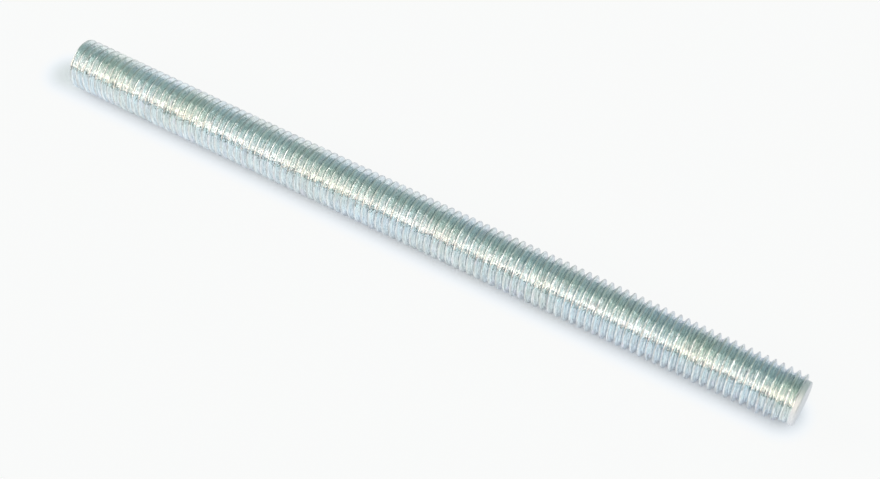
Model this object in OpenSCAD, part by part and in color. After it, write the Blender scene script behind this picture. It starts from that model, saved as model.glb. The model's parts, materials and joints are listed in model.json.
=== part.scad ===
// Threaded rod, M10 x 1.5, with a right-hand thread over its whole length.
// It lies along X on the surface it rests on, and the origin is under its middle.
// The +X end is dressed for starting a nut, and the -X end is sawn off square.

/* [Rod] */
// Length over both end faces
rod_length = 154.2; // [30:0.1:160]

/* [Thread] */
// Nominal thread diameter
thread_d = 10; // [8:0.5:12]
// Pitch, the advance of the thread in one turn
pitch = 1.5; // [1.25:0.25:2]
// How far the crests stay under the nominal diameter
crest_allowance = 0.05; // [0:0.01:0.3]
// Where a crest meets the sawn end, in degrees round from the underside
crest_start = 120; // [0:5:355]

/* [Dressed end] */
// Length of the nose along the middle, where the crests are turned down
nose_length = 1.65; // [1.5:0.05:3]
// Lean of the shoulder behind the nose, in degrees
shoulder_lean = 7.5; // [0:0.5:8]
// Side on which the nose is shortest, in degrees round from the underside
short_side = 125; // [0:5:355]
// How far the nose lies under the nominal radius
nose_depth = 0.7; // [0.4:0.05:1]
// Chamfer round the end face
nose_chamfer = 0.35; // [0.1:0.05:0.5]

/* [Hidden] */

// ISO metric profile: 60 degree flanks, and a root 17/24 of the sharp height below the nominal radius
nominal_r = thread_d / 2;
sharp_height = pitch * cos(30);
crest_r = nominal_r - crest_allowance / 2;
root_r = nominal_r - sharp_height * 17 / 24;
nose_r = nominal_r - nose_depth;

// Axial width of the ridge at radius r: an eighth of the pitch at the nominal radius
function ridge_width(r) = pitch / 8 + 2 * (nominal_r - r) * tan(30);

crest_reach = ridge_width(crest_r) / 2;
root_reach = ridge_width(root_r) / 2;

// One ridge of the thread, as [distance from its middle along the axis, radius]
ridge_outline = [
    [-root_reach, root_r],
    [-crest_reach, crest_r],
    [crest_reach, crest_r],
    [root_reach, root_r]
];
outline_points = len(ridge_outline);

// The helix starts a turn or two before the sawn end, runs past the other, and is trimmed at both
lead_in = (1 + crest_start / 360) * pitch;
lead_out = 1.5 * pitch;
turns = ceil((lead_in + rod_length + lead_out) / pitch);

// Flat facets stand for the helix: as many to a turn as the budget for the whole rod allows
facet_budget = 12000;
most_steps = 36;
steps = min(most_steps, floor(facet_budget / (2 * outline_points * turns)));
last_step = turns * steps;
finish_step = last_step - steps;

// The rod lies on the flats of its facets
rest_height = crest_r * cos(180 / steps);

// Corner of the helix: step counts along the turns, and corner along the outline
function helix_corner(step, corner) =
    let (
        turn = (step + 0.5) / steps,
        along = ridge_outline[corner][0] + turn * pitch,
        r = ridge_outline[corner][1]
    )
    [r * cos(360 * turn), r * sin(360 * turn), along];

// Index of a corner. After the last corner comes the first one of the next turn,
// and the steps past the finish have only that one
function corner_index(step, corner) =
    corner == outline_points
        ? corner_index(step + steps, 0)
        : step * outline_points + corner
            - max(0, step - finish_step - 1) * (outline_points - 1);

// A helical ridge with its core, closed by a fan round the axis at each end
module thread_helix() {
    corners = [
        for (step = [0:last_step], corner = [0:outline_points - 1])
            if (step <= finish_step || corner == 0)
                helix_corner(step, corner)
    ];
    start_centre = len(corners);
    finish_centre = start_centre + 1;
    centres = [[0, 0, 0], [0, 0, turns * pitch - pitch]];

    strips = [
        for (step = [0:finish_step - 1], corner = [0:outline_points - 1])
            each [
                [
                    corner_index(step, corner),
                    corner_index(step, corner + 1),
                    corner_index(step + 1, corner)
                ],
                [
                    corner_index(step + 1, corner),
                    corner_index(step, corner + 1),
                    corner_index(step + 1, corner + 1)
                ]
            ]
    ];

    // Rim of each end: once round at the first corner, then back along the outline
    start_rim = concat(
        [for (step = [0:steps]) corner_index(step, 0)],
        [for (corner = [outline_points - 1:-1:1]) corner_index(0, corner)]
    );
    finish_rim = concat(
        [for (step = [finish_step:last_step]) corner_index(step, 0)],
        [for (corner = [outline_points - 1:-1:1]) corner_index(finish_step, corner)]
    );
    start_fan = [
        for (i = [0:len(start_rim) - 1])
            [start_centre, start_rim[i], start_rim[(i + 1) % len(start_rim)]]
    ];
    finish_fan = [
        for (i = [0:len(finish_rim) - 1])
            [finish_centre, finish_rim[(i + 1) % len(finish_rim)], finish_rim[i]]
    ];
    polyhedron(
        points = concat(corners, centres),
        faces = concat(strips, start_fan, finish_fan),
        convexity = 10
    );
}

// What the saw and the grinder leave room for: clear of the crests as far as the leaning shoulder,
// then the nose, and square at both ends
module ground_blank() {
    clear_r = crest_r + pitch / 4;
    nose_root = rod_length - 2 * nose_length;
    difference() {
        cylinder(r = clear_r, h = rod_length, $fn = 96);
        translate([0, 0, rod_length - nose_length])
            rotate([0, -shoulder_lean, short_side])
                translate([-2 * clear_r, -2 * clear_r, 0])
                    cube([4 * clear_r, 4 * clear_r, 2 * nose_length]);
    }
    rotate_extrude($fn = 96)
        polygon([
            [0, nose_root],
            [nose_r, nose_root],
            [nose_r, rod_length - nose_chamfer],
            [nose_r - nose_chamfer, rod_length],
            [0, rod_length]
        ]);
}

module threaded_rod() {
    color("lightsteelblue")
        translate([-rod_length / 2, 0, rest_height])
            rotate([0, 90, 0])
                intersection() {
                    translate([0, 0, -lead_in])
                        thread_helix();
                    ground_blank();
                }
}

threaded_rod();
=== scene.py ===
"""Looks of the threaded rod: a zinc plated thread, dressed at one end and sawn at the other, on paper."""

import json
import math

import bmesh
import bpy
import numpy as np
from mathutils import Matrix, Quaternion, Vector


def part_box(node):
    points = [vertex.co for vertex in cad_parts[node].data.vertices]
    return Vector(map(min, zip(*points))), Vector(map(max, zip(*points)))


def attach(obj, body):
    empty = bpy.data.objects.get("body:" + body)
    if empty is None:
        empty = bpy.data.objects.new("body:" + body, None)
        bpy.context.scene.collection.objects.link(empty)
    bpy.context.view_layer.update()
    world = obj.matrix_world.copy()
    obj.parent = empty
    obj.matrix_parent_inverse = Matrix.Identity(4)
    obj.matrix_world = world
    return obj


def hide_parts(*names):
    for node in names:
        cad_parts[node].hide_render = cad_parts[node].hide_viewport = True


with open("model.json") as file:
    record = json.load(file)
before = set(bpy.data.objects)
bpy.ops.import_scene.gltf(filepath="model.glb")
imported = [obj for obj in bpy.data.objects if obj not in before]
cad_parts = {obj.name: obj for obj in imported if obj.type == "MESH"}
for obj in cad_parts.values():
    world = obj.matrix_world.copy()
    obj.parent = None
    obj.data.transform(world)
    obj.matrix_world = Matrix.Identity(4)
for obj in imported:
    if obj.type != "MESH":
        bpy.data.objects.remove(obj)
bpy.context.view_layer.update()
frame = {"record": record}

MM = 0.001
TURN = 2 * math.pi
SEED = 11
random = np.random.default_rng(SEED)

# ---------------------------------------------------------------- what the CAD says, in metres
LOW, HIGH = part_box("threaded_rod")
AXIS_Z = frame["record"]["mounts"][0]["pos_m"][2]
SAWN_X, DRESSED_X = LOW.x, HIGH.x
CREST_R = (HIGH.y - LOW.y) / 2

# ---------------------------------------------------------------- thread, in metres and radians
NOMINAL_R = 5 * MM
PITCH = 1.5 * MM
FLANK = math.radians(30)
SHARP_HEIGHT = PITCH * math.cos(FLANK)
ROOT_ROUND = SHARP_HEIGHT * 0.20
ROOT_R = NOMINAL_R - SHARP_HEIGHT * 7 / 8 + ROOT_ROUND
CREST_ROUND = 0.11 * MM
CREST_SEAM = 0.012 * MM
CREST_START = math.radians(120)
LEAD_TURNS = 2
COLUMNS = 52
ARC_DEGREES = (0, 30, 60)
FLANK_STEPS = (1 / 3, 2 / 3)

# What rolling and handling leave. A wander is its number of waves, then its fewest and most cycles a turn.
SWELL, SWELL_MM = (24, 0.4, 6), 0.015
RIPPLE, RIPPLE_MM = (30, 6, 18), 0.004
SIDEWAYS, SIDEWAYS_MM = (16, 0.5, 5), 0.012
LUMPY, LUMPS, LUMP_ROWS = (30, 0.6, 9), 0.045 * MM, 6
WANDER_PEAK = 1.6
NICKS = 46
NICK_TURNS = (0.010, 0.030)
NICK_MM = (0.02, 0.06)

# ---------------------------------------------------------------- ends, in metres and radians
# The nose is ground deeper above, and the crests are ground down further back below. Rings are radii in mm.
NOSE_X = DRESSED_X + 0.12 * MM
NOSE_R = 4.18 * MM
NOSE_SHIFT = 0.20 * MM
NOSE_LONG = 0.95 * MM
NOSE_ROUND = 0.30 * MM
NOSE_TOP = math.radians(127)
NOSE_DEGREES = (90, 60, 30, 0)
FOOT_OUT, FOOT_BACK = 0.06 * MM, 0.02 * MM
GROUND_LONG = 1.3 * MM
GROUND_POWER = 3
LEAN_ABOVE, LEAN_BELOW = 0.18, 3.0
CLEAR_R = 5.6 * MM
BLANK_SIDES = 144
SAWN_RINGS = (1.2, 2.4, 3.6, 4.85)
DRESSED_RINGS = (3.2, 2.1, 1.0)
SHARP_FROM = math.radians(38)


# ---------------------------------------------------------------- shape
def wander(s, waves, low, high):
    """A smooth seeded wander along s in turns: waves of low to high cycles a turn, about -1 to 1."""
    total = np.zeros_like(s, dtype=float)
    for _ in range(waves):
        cycles = math.exp(random.uniform(math.log(low), math.log(high)))
        total += np.sin(TURN * (cycles * s + random.uniform()))
    return total / math.sqrt(waves / 2) / WANDER_PEAK


def nicks(s, turns):
    """Small dents knocked into the crest here and there, as a depth in metres."""
    depth = np.zeros_like(s, dtype=float)
    for _ in range(NICKS):
        at = random.uniform(0, turns)
        half_width = random.uniform(*NICK_TURNS)
        deep = random.uniform(*NICK_MM) * MM
        depth += deep * np.exp(-((s - at) / half_width) ** 2)
    return depth


def ridge_half(r):
    """Half the ridge's axial width at radius r."""
    return PITCH / 16 + (NOMINAL_R - r) * math.tan(FLANK)


def ridge_profile():
    """One pitch from the middle of a ridge: place along the axis, radius, and how much of a crest."""
    flat = ridge_half(CREST_R) - CREST_ROUND * math.tan(FLANK)
    half = [(0.0, CREST_R - CREST_SEAM, 1.0)]
    for lean in ARC_DEGREES:
        a = math.radians(lean)
        half.append((flat + CREST_ROUND * math.sin(a), CREST_R - CREST_ROUND * (1 - math.cos(a)), 1.0))
    crest_x, crest_r, _ = half[-1]
    root_x, root_r = PITCH / 2 - ROOT_ROUND * math.cos(FLANK), ROOT_R + ROOT_ROUND / 2
    for t in FLANK_STEPS:
        half.append((crest_x + (root_x - crest_x) * t, crest_r + (root_r - crest_r) * t, 1 - t))
    for lean in reversed(ARC_DEGREES):
        a = math.radians(lean)
        half.append((PITCH / 2 - ROOT_ROUND * math.sin(a), ROOT_R + ROOT_ROUND * (1 - math.cos(a)), 0.0))
    mirrored = [(PITCH - x, r, crest) for x, r, crest in half[1:-1]]
    return np.array(half + mirrored[::-1])


def around(x, r, angle):
    """Points at x along the axis and r from it. The angle starts underneath and is right-handed about +X."""
    x, r, angle = np.broadcast_arrays(x, r, angle)
    return np.stack([x, r * np.sin(angle), AXIS_Z - r * np.cos(angle)], axis=-1)


def mesh_object(name, points, faces):
    """A mesh in the scene."""
    mesh = bpy.data.meshes.new(name)
    mesh.from_pydata([tuple(p) for p in points], [], faces)
    mesh.validate()
    obj = bpy.data.objects.new(name, mesh)
    bpy.context.scene.collection.objects.link(obj)
    return obj


def thread_points(profile, turns):
    """The thread's surface: rows along the outline, columns round the turn."""
    per_turn = len(profile)
    row = np.arange(turns * per_turn)[:, None]
    column = np.arange(COLUMNS)[None, :]
    s = row // per_turn + column / COLUMNS
    x0, r0, crest = (profile[:, k][row % per_turn] for k in range(3))
    height = SWELL_MM * wander(s, *SWELL) + RIPPLE_MM * wander(s, *RIPPLE)
    shift = SIDEWAYS_MM * wander(s, *SIDEWAYS)
    part = (row % per_turn) / per_turn * LUMP_ROWS
    lumps = 0
    for k in range(LUMP_ROWS):
        apart = np.abs((part - k + LUMP_ROWS / 2) % LUMP_ROWS - LUMP_ROWS / 2)
        lumps = lumps + np.clip(1 - apart, 0, 1) * wander(s, *LUMPY)
    r = r0 + crest * (height * MM - nicks(s, turns)) + np.where(crest < 1, LUMPS, 0) * lumps
    start = SAWN_X - (LEAD_TURNS + CREST_START / TURN) * PITCH
    x = start + s * PITCH + x0 + crest * shift * MM
    return around(x, r, TURN * column / COLUMNS).reshape(-1, 3)


def thread_body():
    """The thread as one helical grid, longer than the rod, closed at each end by a fan."""
    profile = ridge_profile()
    per_turn = len(profile)
    turns = math.ceil((DRESSED_X - SAWN_X) / PITCH) + 2 * LEAD_TURNS
    rows = turns * per_turn
    points = thread_points(profile, turns)

    def at(i, j):
        """The point of row i and column j. The column after the last is the next turn's first one."""
        return (i + per_turn) * COLUMNS if j == COLUMNS else i * COLUMNS + j

    faces = []
    for i in range(rows - 1):
        for j in range(COLUMNS):
            if j < COLUMNS - 1 or i + per_turn + 1 < rows:
                faces.append((at(i, j), at(i, j + 1), at(i + 1, j + 1), at(i + 1, j)))
    last_row = rows - 1
    start_rim = [at(0, j) for j in range(COLUMNS)] + [at(i, 0) for i in range(per_turn, 0, -1)]
    finish_rim = [at(last_row, j) for j in range(COLUMNS)]
    finish_rim += [at(i, COLUMNS - 1) for i in range(last_row - 1, last_row - per_turn - 1, -1)]
    centres = [around(points[rim, 0].mean(), 0, 0)[None] for rim in (start_rim, finish_rim)]
    count = len(points)
    for k in range(len(start_rim)):
        faces.append((count, start_rim[(k + 1) % len(start_rim)], start_rim[k]))
    for k in range(len(finish_rim)):
        faces.append((count + 1, finish_rim[k], finish_rim[(k + 1) % len(finish_rim)]))
    return mesh_object("thread_body", np.vstack([points] + centres), faces)


def blank_rings(angle):
    """The blank's rings, from the sawn face to the dressed one: place along the axis and radius."""
    ground = ((1 - np.cos(angle - NOSE_TOP)) / 2) ** GROUND_POWER
    nose_r = NOSE_R - NOSE_SHIFT * np.cos(angle - NOSE_TOP)
    foot_r = nose_r + FOOT_OUT
    foot_x = NOSE_X - NOSE_LONG - FOOT_BACK - GROUND_LONG * ground
    lean = LEAN_ABOVE + (LEAN_BELOW - LEAN_ABOVE) * ground
    rings = [(SAWN_X, r * MM) for r in SAWN_RINGS]
    rings.append((SAWN_X, CLEAR_R))
    rings.append((foot_x - lean * (CLEAR_R - foot_r), CLEAR_R))
    rings.append((foot_x, foot_r))
    rings.append((NOSE_X - NOSE_LONG, nose_r))
    for degrees in NOSE_DEGREES:
        a = math.radians(degrees)
        rings.append((NOSE_X - NOSE_ROUND * (1 - math.cos(a)), nose_r - NOSE_ROUND * (1 - math.sin(a))))
    return rings + [(NOSE_X, r * MM) for r in DRESSED_RINGS]


def blank():
    """The room that saw and grinder leave: a solid with a short nose, ground back to a cone on one side."""
    angle = np.arange(BLANK_SIDES) / BLANK_SIDES * TURN
    rings = blank_rings(angle)
    points = np.vstack([around(x, r, angle) for x, r in rings])
    faces = []
    for i in range(len(rings) - 1):
        for j in range(BLANK_SIDES):
            k = (j + 1) % BLANK_SIDES
            a, b = i * BLANK_SIDES, (i + 1) * BLANK_SIDES
            faces.append((a + j, b + j, b + k, a + k))
    last = (len(rings) - 1) * BLANK_SIDES
    for j in range(BLANK_SIDES):
        k = (j + 1) % BLANK_SIDES
        faces.append((len(points), j, k))
        faces.append((len(points) + 1, last + k, last + j))
    points = np.vstack([points, around(SAWN_X, 0, 0)[None], around(NOSE_X, 0, 0)[None]])
    return mesh_object("blank", points, faces)


def outward(obj):
    """Turns the faces out if the mesh is inside out."""
    b = bmesh.new()
    b.from_mesh(obj.data)
    bmesh.ops.recalc_face_normals(b, faces=b.faces)
    if b.calc_volume(signed=True) < 0:
        bmesh.ops.reverse_faces(b, faces=b.faces)
    b.to_mesh(obj.data)
    b.free()


def kept_in(body, tool):
    """The rod: body, kept only where it lies in tool."""
    outward(body)
    outward(tool)
    cut = body.modifiers.new("cut", "BOOLEAN")
    cut.operation = "INTERSECT"
    cut.solver = "MANIFOLD"
    cut.object = tool
    evaluated = body.evaluated_get(bpy.context.evaluated_depsgraph_get())
    mesh = bpy.data.meshes.new_from_object(evaluated)
    bpy.data.objects.remove(tool)
    bpy.data.objects.remove(body)
    obj = bpy.data.objects.new("rod", mesh)
    bpy.context.scene.collection.objects.link(obj)
    return obj


# ---------------------------------------------------------------- node writing
class Nodes:
    """A short way to write the nodes of a material or of the world."""

    def __init__(self, owner, shader):
        owner.use_nodes = True
        self.owner = owner
        self.tree = owner.node_tree
        self.shader = self.tree.nodes[shader]

    def add(self, kind, inputs=(), **settings):
        node = self.tree.nodes.new("ShaderNode" + kind)
        for name, value in settings.items():
            setattr(node, name, value)
        for key, value in dict(inputs).items():
            self.put(value, node.inputs[key])
        return node

    def put(self, value, socket):
        """A socket or a plain value into a socket."""
        if isinstance(value, bpy.types.NodeSocket):
            self.tree.links.new(value, socket)
        else:
            socket.default_value = value

    def math(self, operation, *values):
        return self.add("Math", enumerate(values), operation=operation).outputs[0]

    def noise(self, vector, scale, detail=2.0, roughness=0.5):
        inputs = {"Vector": vector, "Scale": scale, "Detail": detail, "Roughness": roughness}
        return self.add("TexNoise", inputs).outputs[0]

    def range(self, value, low, high, to_low=0.0, to_high=1.0, smooth=False):
        inputs = {"Value": value, "From Min": low, "From Max": high, "To Min": to_low, "To Max": to_high}
        kind = "SMOOTHSTEP" if smooth else "LINEAR"
        return self.add("MapRange", inputs, clamp=True, interpolation_type=kind).outputs["Result"]

    def mix(self, factor, a, b):
        """From colour a to colour b."""
        node = self.add("Mix", {"Factor": factor}, data_type="RGBA")
        self.put(a, node.inputs[6])
        self.put(b, node.inputs[7])
        return node.outputs[2]

    def blend(self, factor, a, b):
        """From number a to number b."""
        node = self.add("Mix", {"Factor": factor}, data_type="FLOAT")
        self.put(a, node.inputs[2])
        self.put(b, node.inputs[3])
        return node.outputs[0]

    def scaled(self, vector, factor):
        return self.add("VectorMath", {0: vector, "Scale": factor}, operation="SCALE").outputs[0]

    def vector(self, x, y, z):
        return self.add("CombineXYZ", {0: x, 1: y, 2: z}).outputs[0]

    def split(self, vector):
        return self.add("SeparateXYZ", {0: vector}).outputs

    def length(self, a, b):
        """The length of the vector with parts a and b."""
        return self.math("SQRT", self.math("ADD", self.math("POWER", a, 2.0), self.math("POWER", b, 2.0)))

    def bump(self, height, metres, after=None):
        inputs = {"Height": height, "Distance": metres, "Strength": 1.0}
        if after is not None:
            inputs["Normal"] = after
        return self.add("Bump", inputs).outputs[0]


# ---------------------------------------------------------------- plating
# Base colours: in the grooves, on the crests, the clear film's two faint tints, dark specks, the dull ends.
# The last one tints the metal's reflections at a grazing angle.
GROOVE_ZINC = (0.83, 0.93, 0.98, 1)
CREST_ZINC = (0.89, 0.94, 0.96, 1)
STRAW_ZINC = (0.86, 0.90, 0.79, 1)
LILAC_ZINC = (0.87, 0.84, 0.93, 1)
SPECK_ZINC = (0.20, 0.30, 0.31, 1)
DULL_ZINC = (0.88, 0.90, 0.93, 1)
EDGE_TINT = (0.78, 0.79, 0.83, 1)

# Noise along the unrolled thread: how far it is stretched, its seed, scale, detail and roughness
ROLLING = (0.07, 0.0, 4.0, 3.0, 0.7)
DASHES = (0.40, 7.0, 2.2, 1.0, 0.5)
LILAC = (0.30, 5.0, 1.3, 1.0, 0.5)
MARKS = (0.045, 11.0, 6.0, 2.0, 0.6)
SPECKS = (0.8, 9.0, 5.0, 2.0, 0.5)

# Other noise: scale and detail
STRAW, GRAIN = (110.0, 2.0), (9000.0, 2.0)
RINGS, SAW_LINES = (7.0, 2.0), (6.0, 2.0)

# A range of noise, and what it is turned into: amount of a tint, shade, roughness
STRAW_AMOUNT = (0.40, 0.68, 0.0, 0.45)
LILAC_AMOUNT = (0.56, 0.76, 0.0, 0.5)
SPECK_AMOUNT = (0.70, 0.80, 0.0, 0.8)
MARK_SHADE = (0.38, 0.62, 0.84, 1.09)
WORN_SHADE = (0.38, 0.6, 0.78, 1.0)
GRAIN_ROUGH = (0.3, 0.7, 0.08, 0.14)
ROLLING_ROUGH = (0.3, 0.7, -0.02, 0.06)
DULL_ROUGH = 0.6

# Relief: depth in metres, and how strongly each noise takes part in it
RELIEF, GRAIN_RELIEF = 0.21 * MM, 0.0012 * MM
DASH_PART, NOSE_PART, RING_PART, SAW_PART = 0.8, 0.2, 0.15, 0.25

# The crest's fade, by distance from its middle, and the radius at which length is measured, both in mm
CREST_FADE = (0.30, 0.08)
LENGTH_R = 4.5

# How deep the end faces' own look goes, in metres. Then how quickly it changes round the grinder's rings, and
# across the saw lines, upwards and sideways, and along them.
FACE_DEPTH, SAWN_DEPTH = 0.02 * MM, 0.004 * MM
RING_SPREAD = 2.0
SAW_UP, SAW_SIDE, SAW_SLIP = 0.94, 0.34, 0.06


def unroll(n, x, turn):
    """The helix unrolled, in mm: length along the thread, and place across its ridge from root to root."""
    start = SAWN_X - PITCH * (0.5 + CREST_START / TURN)
    pitches = n.math("DIVIDE", n.math("SUBTRACT", x, start), PITCH)
    unrolled = n.math("SUBTRACT", pitches, turn)
    which = n.math("FLOOR", unrolled)
    across = n.math("MULTIPLY", n.math("SUBTRACT", unrolled, which), PITCH / MM)
    length = n.math("MULTIPLY", n.math("ADD", which, turn), TURN * LENGTH_R)
    return length, across


def plating_colour(n, place, thread_noise, crest, dashes):
    """Zinc with its clear film, marks and specks, a little darker where the crests are worn."""
    colour = n.mix(crest, GROOVE_ZINC, CREST_ZINC)
    colour = n.mix(n.range(n.noise(place, *STRAW), *STRAW_AMOUNT), colour, STRAW_ZINC)
    colour = n.mix(n.range(thread_noise(*LILAC), *LILAC_AMOUNT), colour, LILAC_ZINC)
    colour = n.mix(n.range(thread_noise(*SPECKS), *SPECK_AMOUNT), colour, SPECK_ZINC)
    shade = n.range(thread_noise(*MARKS), *MARK_SHADE)
    worn = n.blend(crest, 1.0, n.range(dashes, *WORN_SHADE))
    return n.scaled(colour, n.math("MULTIPLY", shade, worn))


def zinc():
    """Zinc plated steel: drawn in lines along the thread, and dull where the ends were ground and sawn."""
    n = Nodes(bpy.data.materials.new("zinc"), "Principled BSDF")
    place = n.add("TexCoord").outputs["Object"]
    x, y, up = n.split(place)
    z = n.math("SUBTRACT", up, AXIS_Z)
    turn = n.math("DIVIDE", n.math("ARCTAN2", y, n.math("MULTIPLY", z, -1.0)), TURN)
    length, across = unroll(n, x, turn)

    def thread_noise(stretch, seed, scale, detail, roughness):
        stretched = n.vector(n.math("MULTIPLY", length, stretch), across, seed)
        return n.noise(stretched, scale, detail, roughness)

    rolling = thread_noise(*ROLLING)
    dashes = thread_noise(*DASHES)
    grain = n.noise(place, *GRAIN)
    from_crest = n.math("ABSOLUTE", n.math("SUBTRACT", across, PITCH / MM / 2))
    crest = n.range(from_crest, *CREST_FADE)
    colour = plating_colour(n, place, thread_noise, crest, dashes)

    # the dull ends: rings from the grinder on the dressed face, straight saw lines at the other end
    radius = n.math("MULTIPLY", n.length(y, z), 1 / MM)
    rings = n.noise(n.vector(radius, n.math("MULTIPLY", turn, RING_SPREAD), 0.0), *RINGS)
    saw_up = n.math("ADD", n.math("MULTIPLY", z, SAW_UP / MM), n.math("MULTIPLY", y, SAW_SIDE / MM))
    saw_lines = n.noise(n.vector(saw_up, n.math("MULTIPLY", y, SAW_SLIP / MM), 0.0), *SAW_LINES)
    on_face = n.math("GREATER_THAN", x, NOSE_X - FACE_DEPTH)
    on_sawn = n.math("LESS_THAN", x, SAWN_X + SAWN_DEPTH)
    on_nose = n.math("GREATER_THAN", x, NOSE_X - NOSE_LONG)
    dull = n.math("MAXIMUM", on_nose, on_sawn)

    relief = n.math("ADD", rolling, n.math("MULTIPLY", dashes, DASH_PART))
    relief = n.blend(on_nose, relief, n.math("MULTIPLY", rolling, NOSE_PART))
    relief = n.blend(on_face, relief, n.math("MULTIPLY", rings, RING_PART))
    relief = n.blend(on_sawn, relief, n.math("MULTIPLY", saw_lines, SAW_PART))
    rough = n.math("ADD", n.range(grain, *GRAIN_ROUGH), n.range(rolling, *ROLLING_ROUGH))

    n.shader.inputs["Metallic"].default_value = 1
    n.shader.inputs["Specular Tint"].default_value = EDGE_TINT
    n.put(n.mix(dull, colour, DULL_ZINC), n.shader.inputs["Base Color"])
    n.put(n.blend(dull, rough, DULL_ROUGH), n.shader.inputs["Roughness"])
    n.put(n.bump(grain, GRAIN_RELIEF, n.bump(relief, RELIEF)), n.shader.inputs["Normal"])
    return n.owner


rod = kept_in(thread_body(), blank())
rod.data.shade_smooth()
rod.data.set_sharp_from_angle(angle=SHARP_FROM)
rod.data.materials.clear()
rod.data.materials.append(zinc())
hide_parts("threaded_rod")
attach(rod, "root")

# ---------------------------------------------------------------- floor, in metres
# The paper's colour, bluish so that shade on it looks bluish (a painted tint), then the light it shows to the
# camera, far from the rod and beside it, where a bluish white paints bluish shade. Its share of that light
# rises from under the rod outwards, which paints a narrow shadow along the rod over the real one, shifted
# towards the sawn end.
# bluish, so that the shade on it looks bluish: a painted tint of shade
PAPER = (0.78, 0.84, 0.93, 1)
PAPER_WHITE = (0.975, 0.98, 0.975, 1)
# close to the rod the lift is a bluish white, a painted bluish shade that the metal also reflects
PAINTED_SHADE_BLUE = (0.91, 0.955, 1.0, 1)
PAPER_ROUGH, PAPER_GLOSS = 0.9, 0.1
# the small lift under the rod paints a darker band there, over its real shadow
LIFT_UNDER_PAINTED_SHADOW, LIFT_BESIDE = 0.14, 0.93
LIFT_FROM, LIFT_TO = 1.5 * MM, 6 * MM
WHITE_FROM, WHITE_TO = 4 * MM, 7.5 * MM
# moves the painted shadow towards the sawn end
PAINTED_SHADOW_SHIFT = 3.5 * MM
FLOOR_HALF = 3


def paper():
    """Pale paper. To the camera and in reflections it is lifted towards white, less so close to the rod,
    where that paints a narrow bluish shadow over the real one, shifted towards the sawn end.
    """
    n = Nodes(bpy.data.materials.new("paper"), "Principled BSDF")
    n.shader.inputs["Base Color"].default_value = PAPER
    n.shader.inputs["Roughness"].default_value = PAPER_ROUGH
    n.shader.inputs["Specular IOR Level"].default_value = PAPER_GLOSS
    x, y, _ = n.split(n.add("TexCoord").outputs["Object"])
    # the painted shadow's middle, shifted towards the sawn end
    beside = n.math("ABSOLUTE", n.math("ADD", x, PAINTED_SHADOW_SHIFT))
    past_end = n.math("MAXIMUM", n.math("SUBTRACT", beside, (DRESSED_X - SAWN_X) / 2), 0.0)
    away = n.length(past_end, y)
    # less lift close to the rod: a painted narrow shadow over the real one
    lift = n.range(away, LIFT_FROM, LIFT_TO, LIFT_UNDER_PAINTED_SHADOW, LIFT_BESIDE, smooth=True)
    rays = n.add("LightPath").outputs
    mirrored = n.math("MAXIMUM", rays["Is Glossy Ray"], rays["Is Transmission Ray"])
    seen = n.math("MAXIMUM", rays["Is Camera Ray"], mirrored)
    # bluish close to the rod, a painted bluish shade, and white further out
    white = n.mix(n.range(away, WHITE_FROM, WHITE_TO, smooth=True), PAINTED_SHADE_BLUE, PAPER_WHITE)
    white = n.add("Emission", {"Color": white, "Strength": 1.0}).outputs[0]
    share = n.math("MULTIPLY", seen, lift)
    lifted = n.add("MixShader", {0: share, 1: n.shader.outputs[0], 2: white}).outputs[0]
    n.put(lifted, n.tree.nodes["Material Output"].inputs["Surface"])
    return n.owner


floor_z = min(v.co.z for v in rod.data.vertices)
corners = [(i * FLOOR_HALF, j * FLOOR_HALF, floor_z) for i, j in ((-1, -1), (1, -1), (1, 1), (-1, 1))]
floor = mesh_object("floor", corners, [(0, 1, 2, 3)])
floor.data.materials.append(paper())

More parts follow.
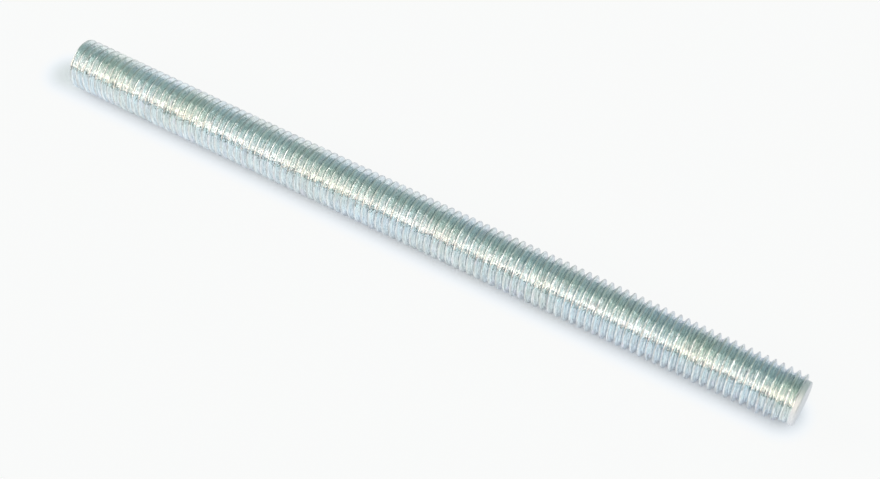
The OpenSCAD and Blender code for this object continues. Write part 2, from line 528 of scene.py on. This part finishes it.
# ---------------------------------------------------------------- light
# Soft boxes round the rod, as the world's colour by direction. Rise is in degrees round the rod's axis, from
# the horizon in front over the top to the horizon behind. Side is the direction's part along the rod, from
# -1 to 1. Each line: rise from, to and softness; side from, to and softness; colour.
SOFT_BOXES = {
    "above": ((19, 200, 4), (-2, 2, 0.1), (0.35, 0.44, 0.40)),
    "low_far": ((-20, 10, 5), (-0.74, -0.22, 0.06), (2.07, 2.43, 2.31)),
    "low_near": ((-20, 8, 4), (-0.22, 2, 0.06), (0.20, 0.24, 0.22)),
    "low_left": ((-20, 40, 6), (-2, -0.74, 0.1), (1.86, 1.66, 1.35)),
    "strip_far": ((10, 46, 4), (-0.74, -0.45, 0.05), (1.69, 1.01, 1.01)),
    "strip_middle": ((11, 46, 4), (-0.45, -0.22, 0.05), (0.75, 0.66, 0.62)),
    "strip_near": ((22, 46, 4), (-0.22, 0.3, 0.05), (2.93, 2.35, 1.91)),
    "right_window": ((46, 80, 10), (0.2, 0.8, 0.1), (0.98, 0.70, 0.70)),
    "left_wall": ((40, 76, 10), (-2, -0.74, 0.1), (2.55, 2.45, 2.20)),
    "left_high": ((76, 106, 10), (-2, -0.74, 0.1), (3.52, 3.13, 3.02)),
    "top": ((46, 100, 8), (-0.3, 0.2, 0.1), (0.50, 0.50, 0.37)),
    "far_side": ((140, 200, 8), (-0.6, 2, 0.12), (0.06, 0.05, 0.08)),
}


def light_the_world():
    """The world's colour: the sum of the soft boxes, each faded in and out over its rise and its side."""
    bpy.context.scene.world = bpy.data.worlds.new("studio")
    n = Nodes(bpy.context.scene.world, "Background")
    side, back, up = n.split(n.add("TexCoord").outputs["Generated"])
    rise = n.math("ARCTAN2", up, n.math("MULTIPLY", back, -1.0))
    rise = n.math("MULTIPLY", rise, 180 / math.pi)
    total = (0, 0, 0)
    for rise_span, side_span, colour in SOFT_BOXES.values():
        inside = 1.0
        for value, (low, high, soft) in ((rise, rise_span), (side, side_span)):
            enters = n.range(value, low - soft, low + soft, smooth=True)
            leaves = n.range(value, high - soft, high + soft, 1.0, 0.0, smooth=True)
            inside = n.math("MULTIPLY", inside, n.math("MULTIPLY", enters, leaves))
        lit = n.scaled(colour, inside)
        total = n.add("VectorMath", {0: total, 1: lit}, operation="ADD").outputs[0]
    n.put(total, n.shader.inputs["Color"])


light_the_world()

# ---------------------------------------------------------------- camera, its lens and sensor in mm
CAMERA_AT = Vector((0.10112146, -0.18039497, 0.24079710))
CAMERA_AIM = Vector((0.00413258, 0.00201133, 0))
CAMERA_ROLL = math.radians(3.4355)
CAMERA_LENS, CAMERA_SENSOR = 69.496, 36
NEAREST_SEEN = 0.01

camera = bpy.data.objects.new("camera", bpy.data.cameras.new("camera"))
bpy.context.scene.collection.objects.link(camera)
camera.data.lens = CAMERA_LENS
camera.data.sensor_width = CAMERA_SENSOR
camera.data.clip_start = NEAREST_SEEN
camera.location = CAMERA_AT
camera.rotation_mode = "QUATERNION"
level = (CAMERA_AIM - CAMERA_AT).to_track_quat("-Z", "Y")
camera.rotation_quaternion = level @ Quaternion((0, 0, 1), CAMERA_ROLL)
bpy.context.scene.camera = camera

bpy.context.scene.view_settings.view_transform = "Standard"
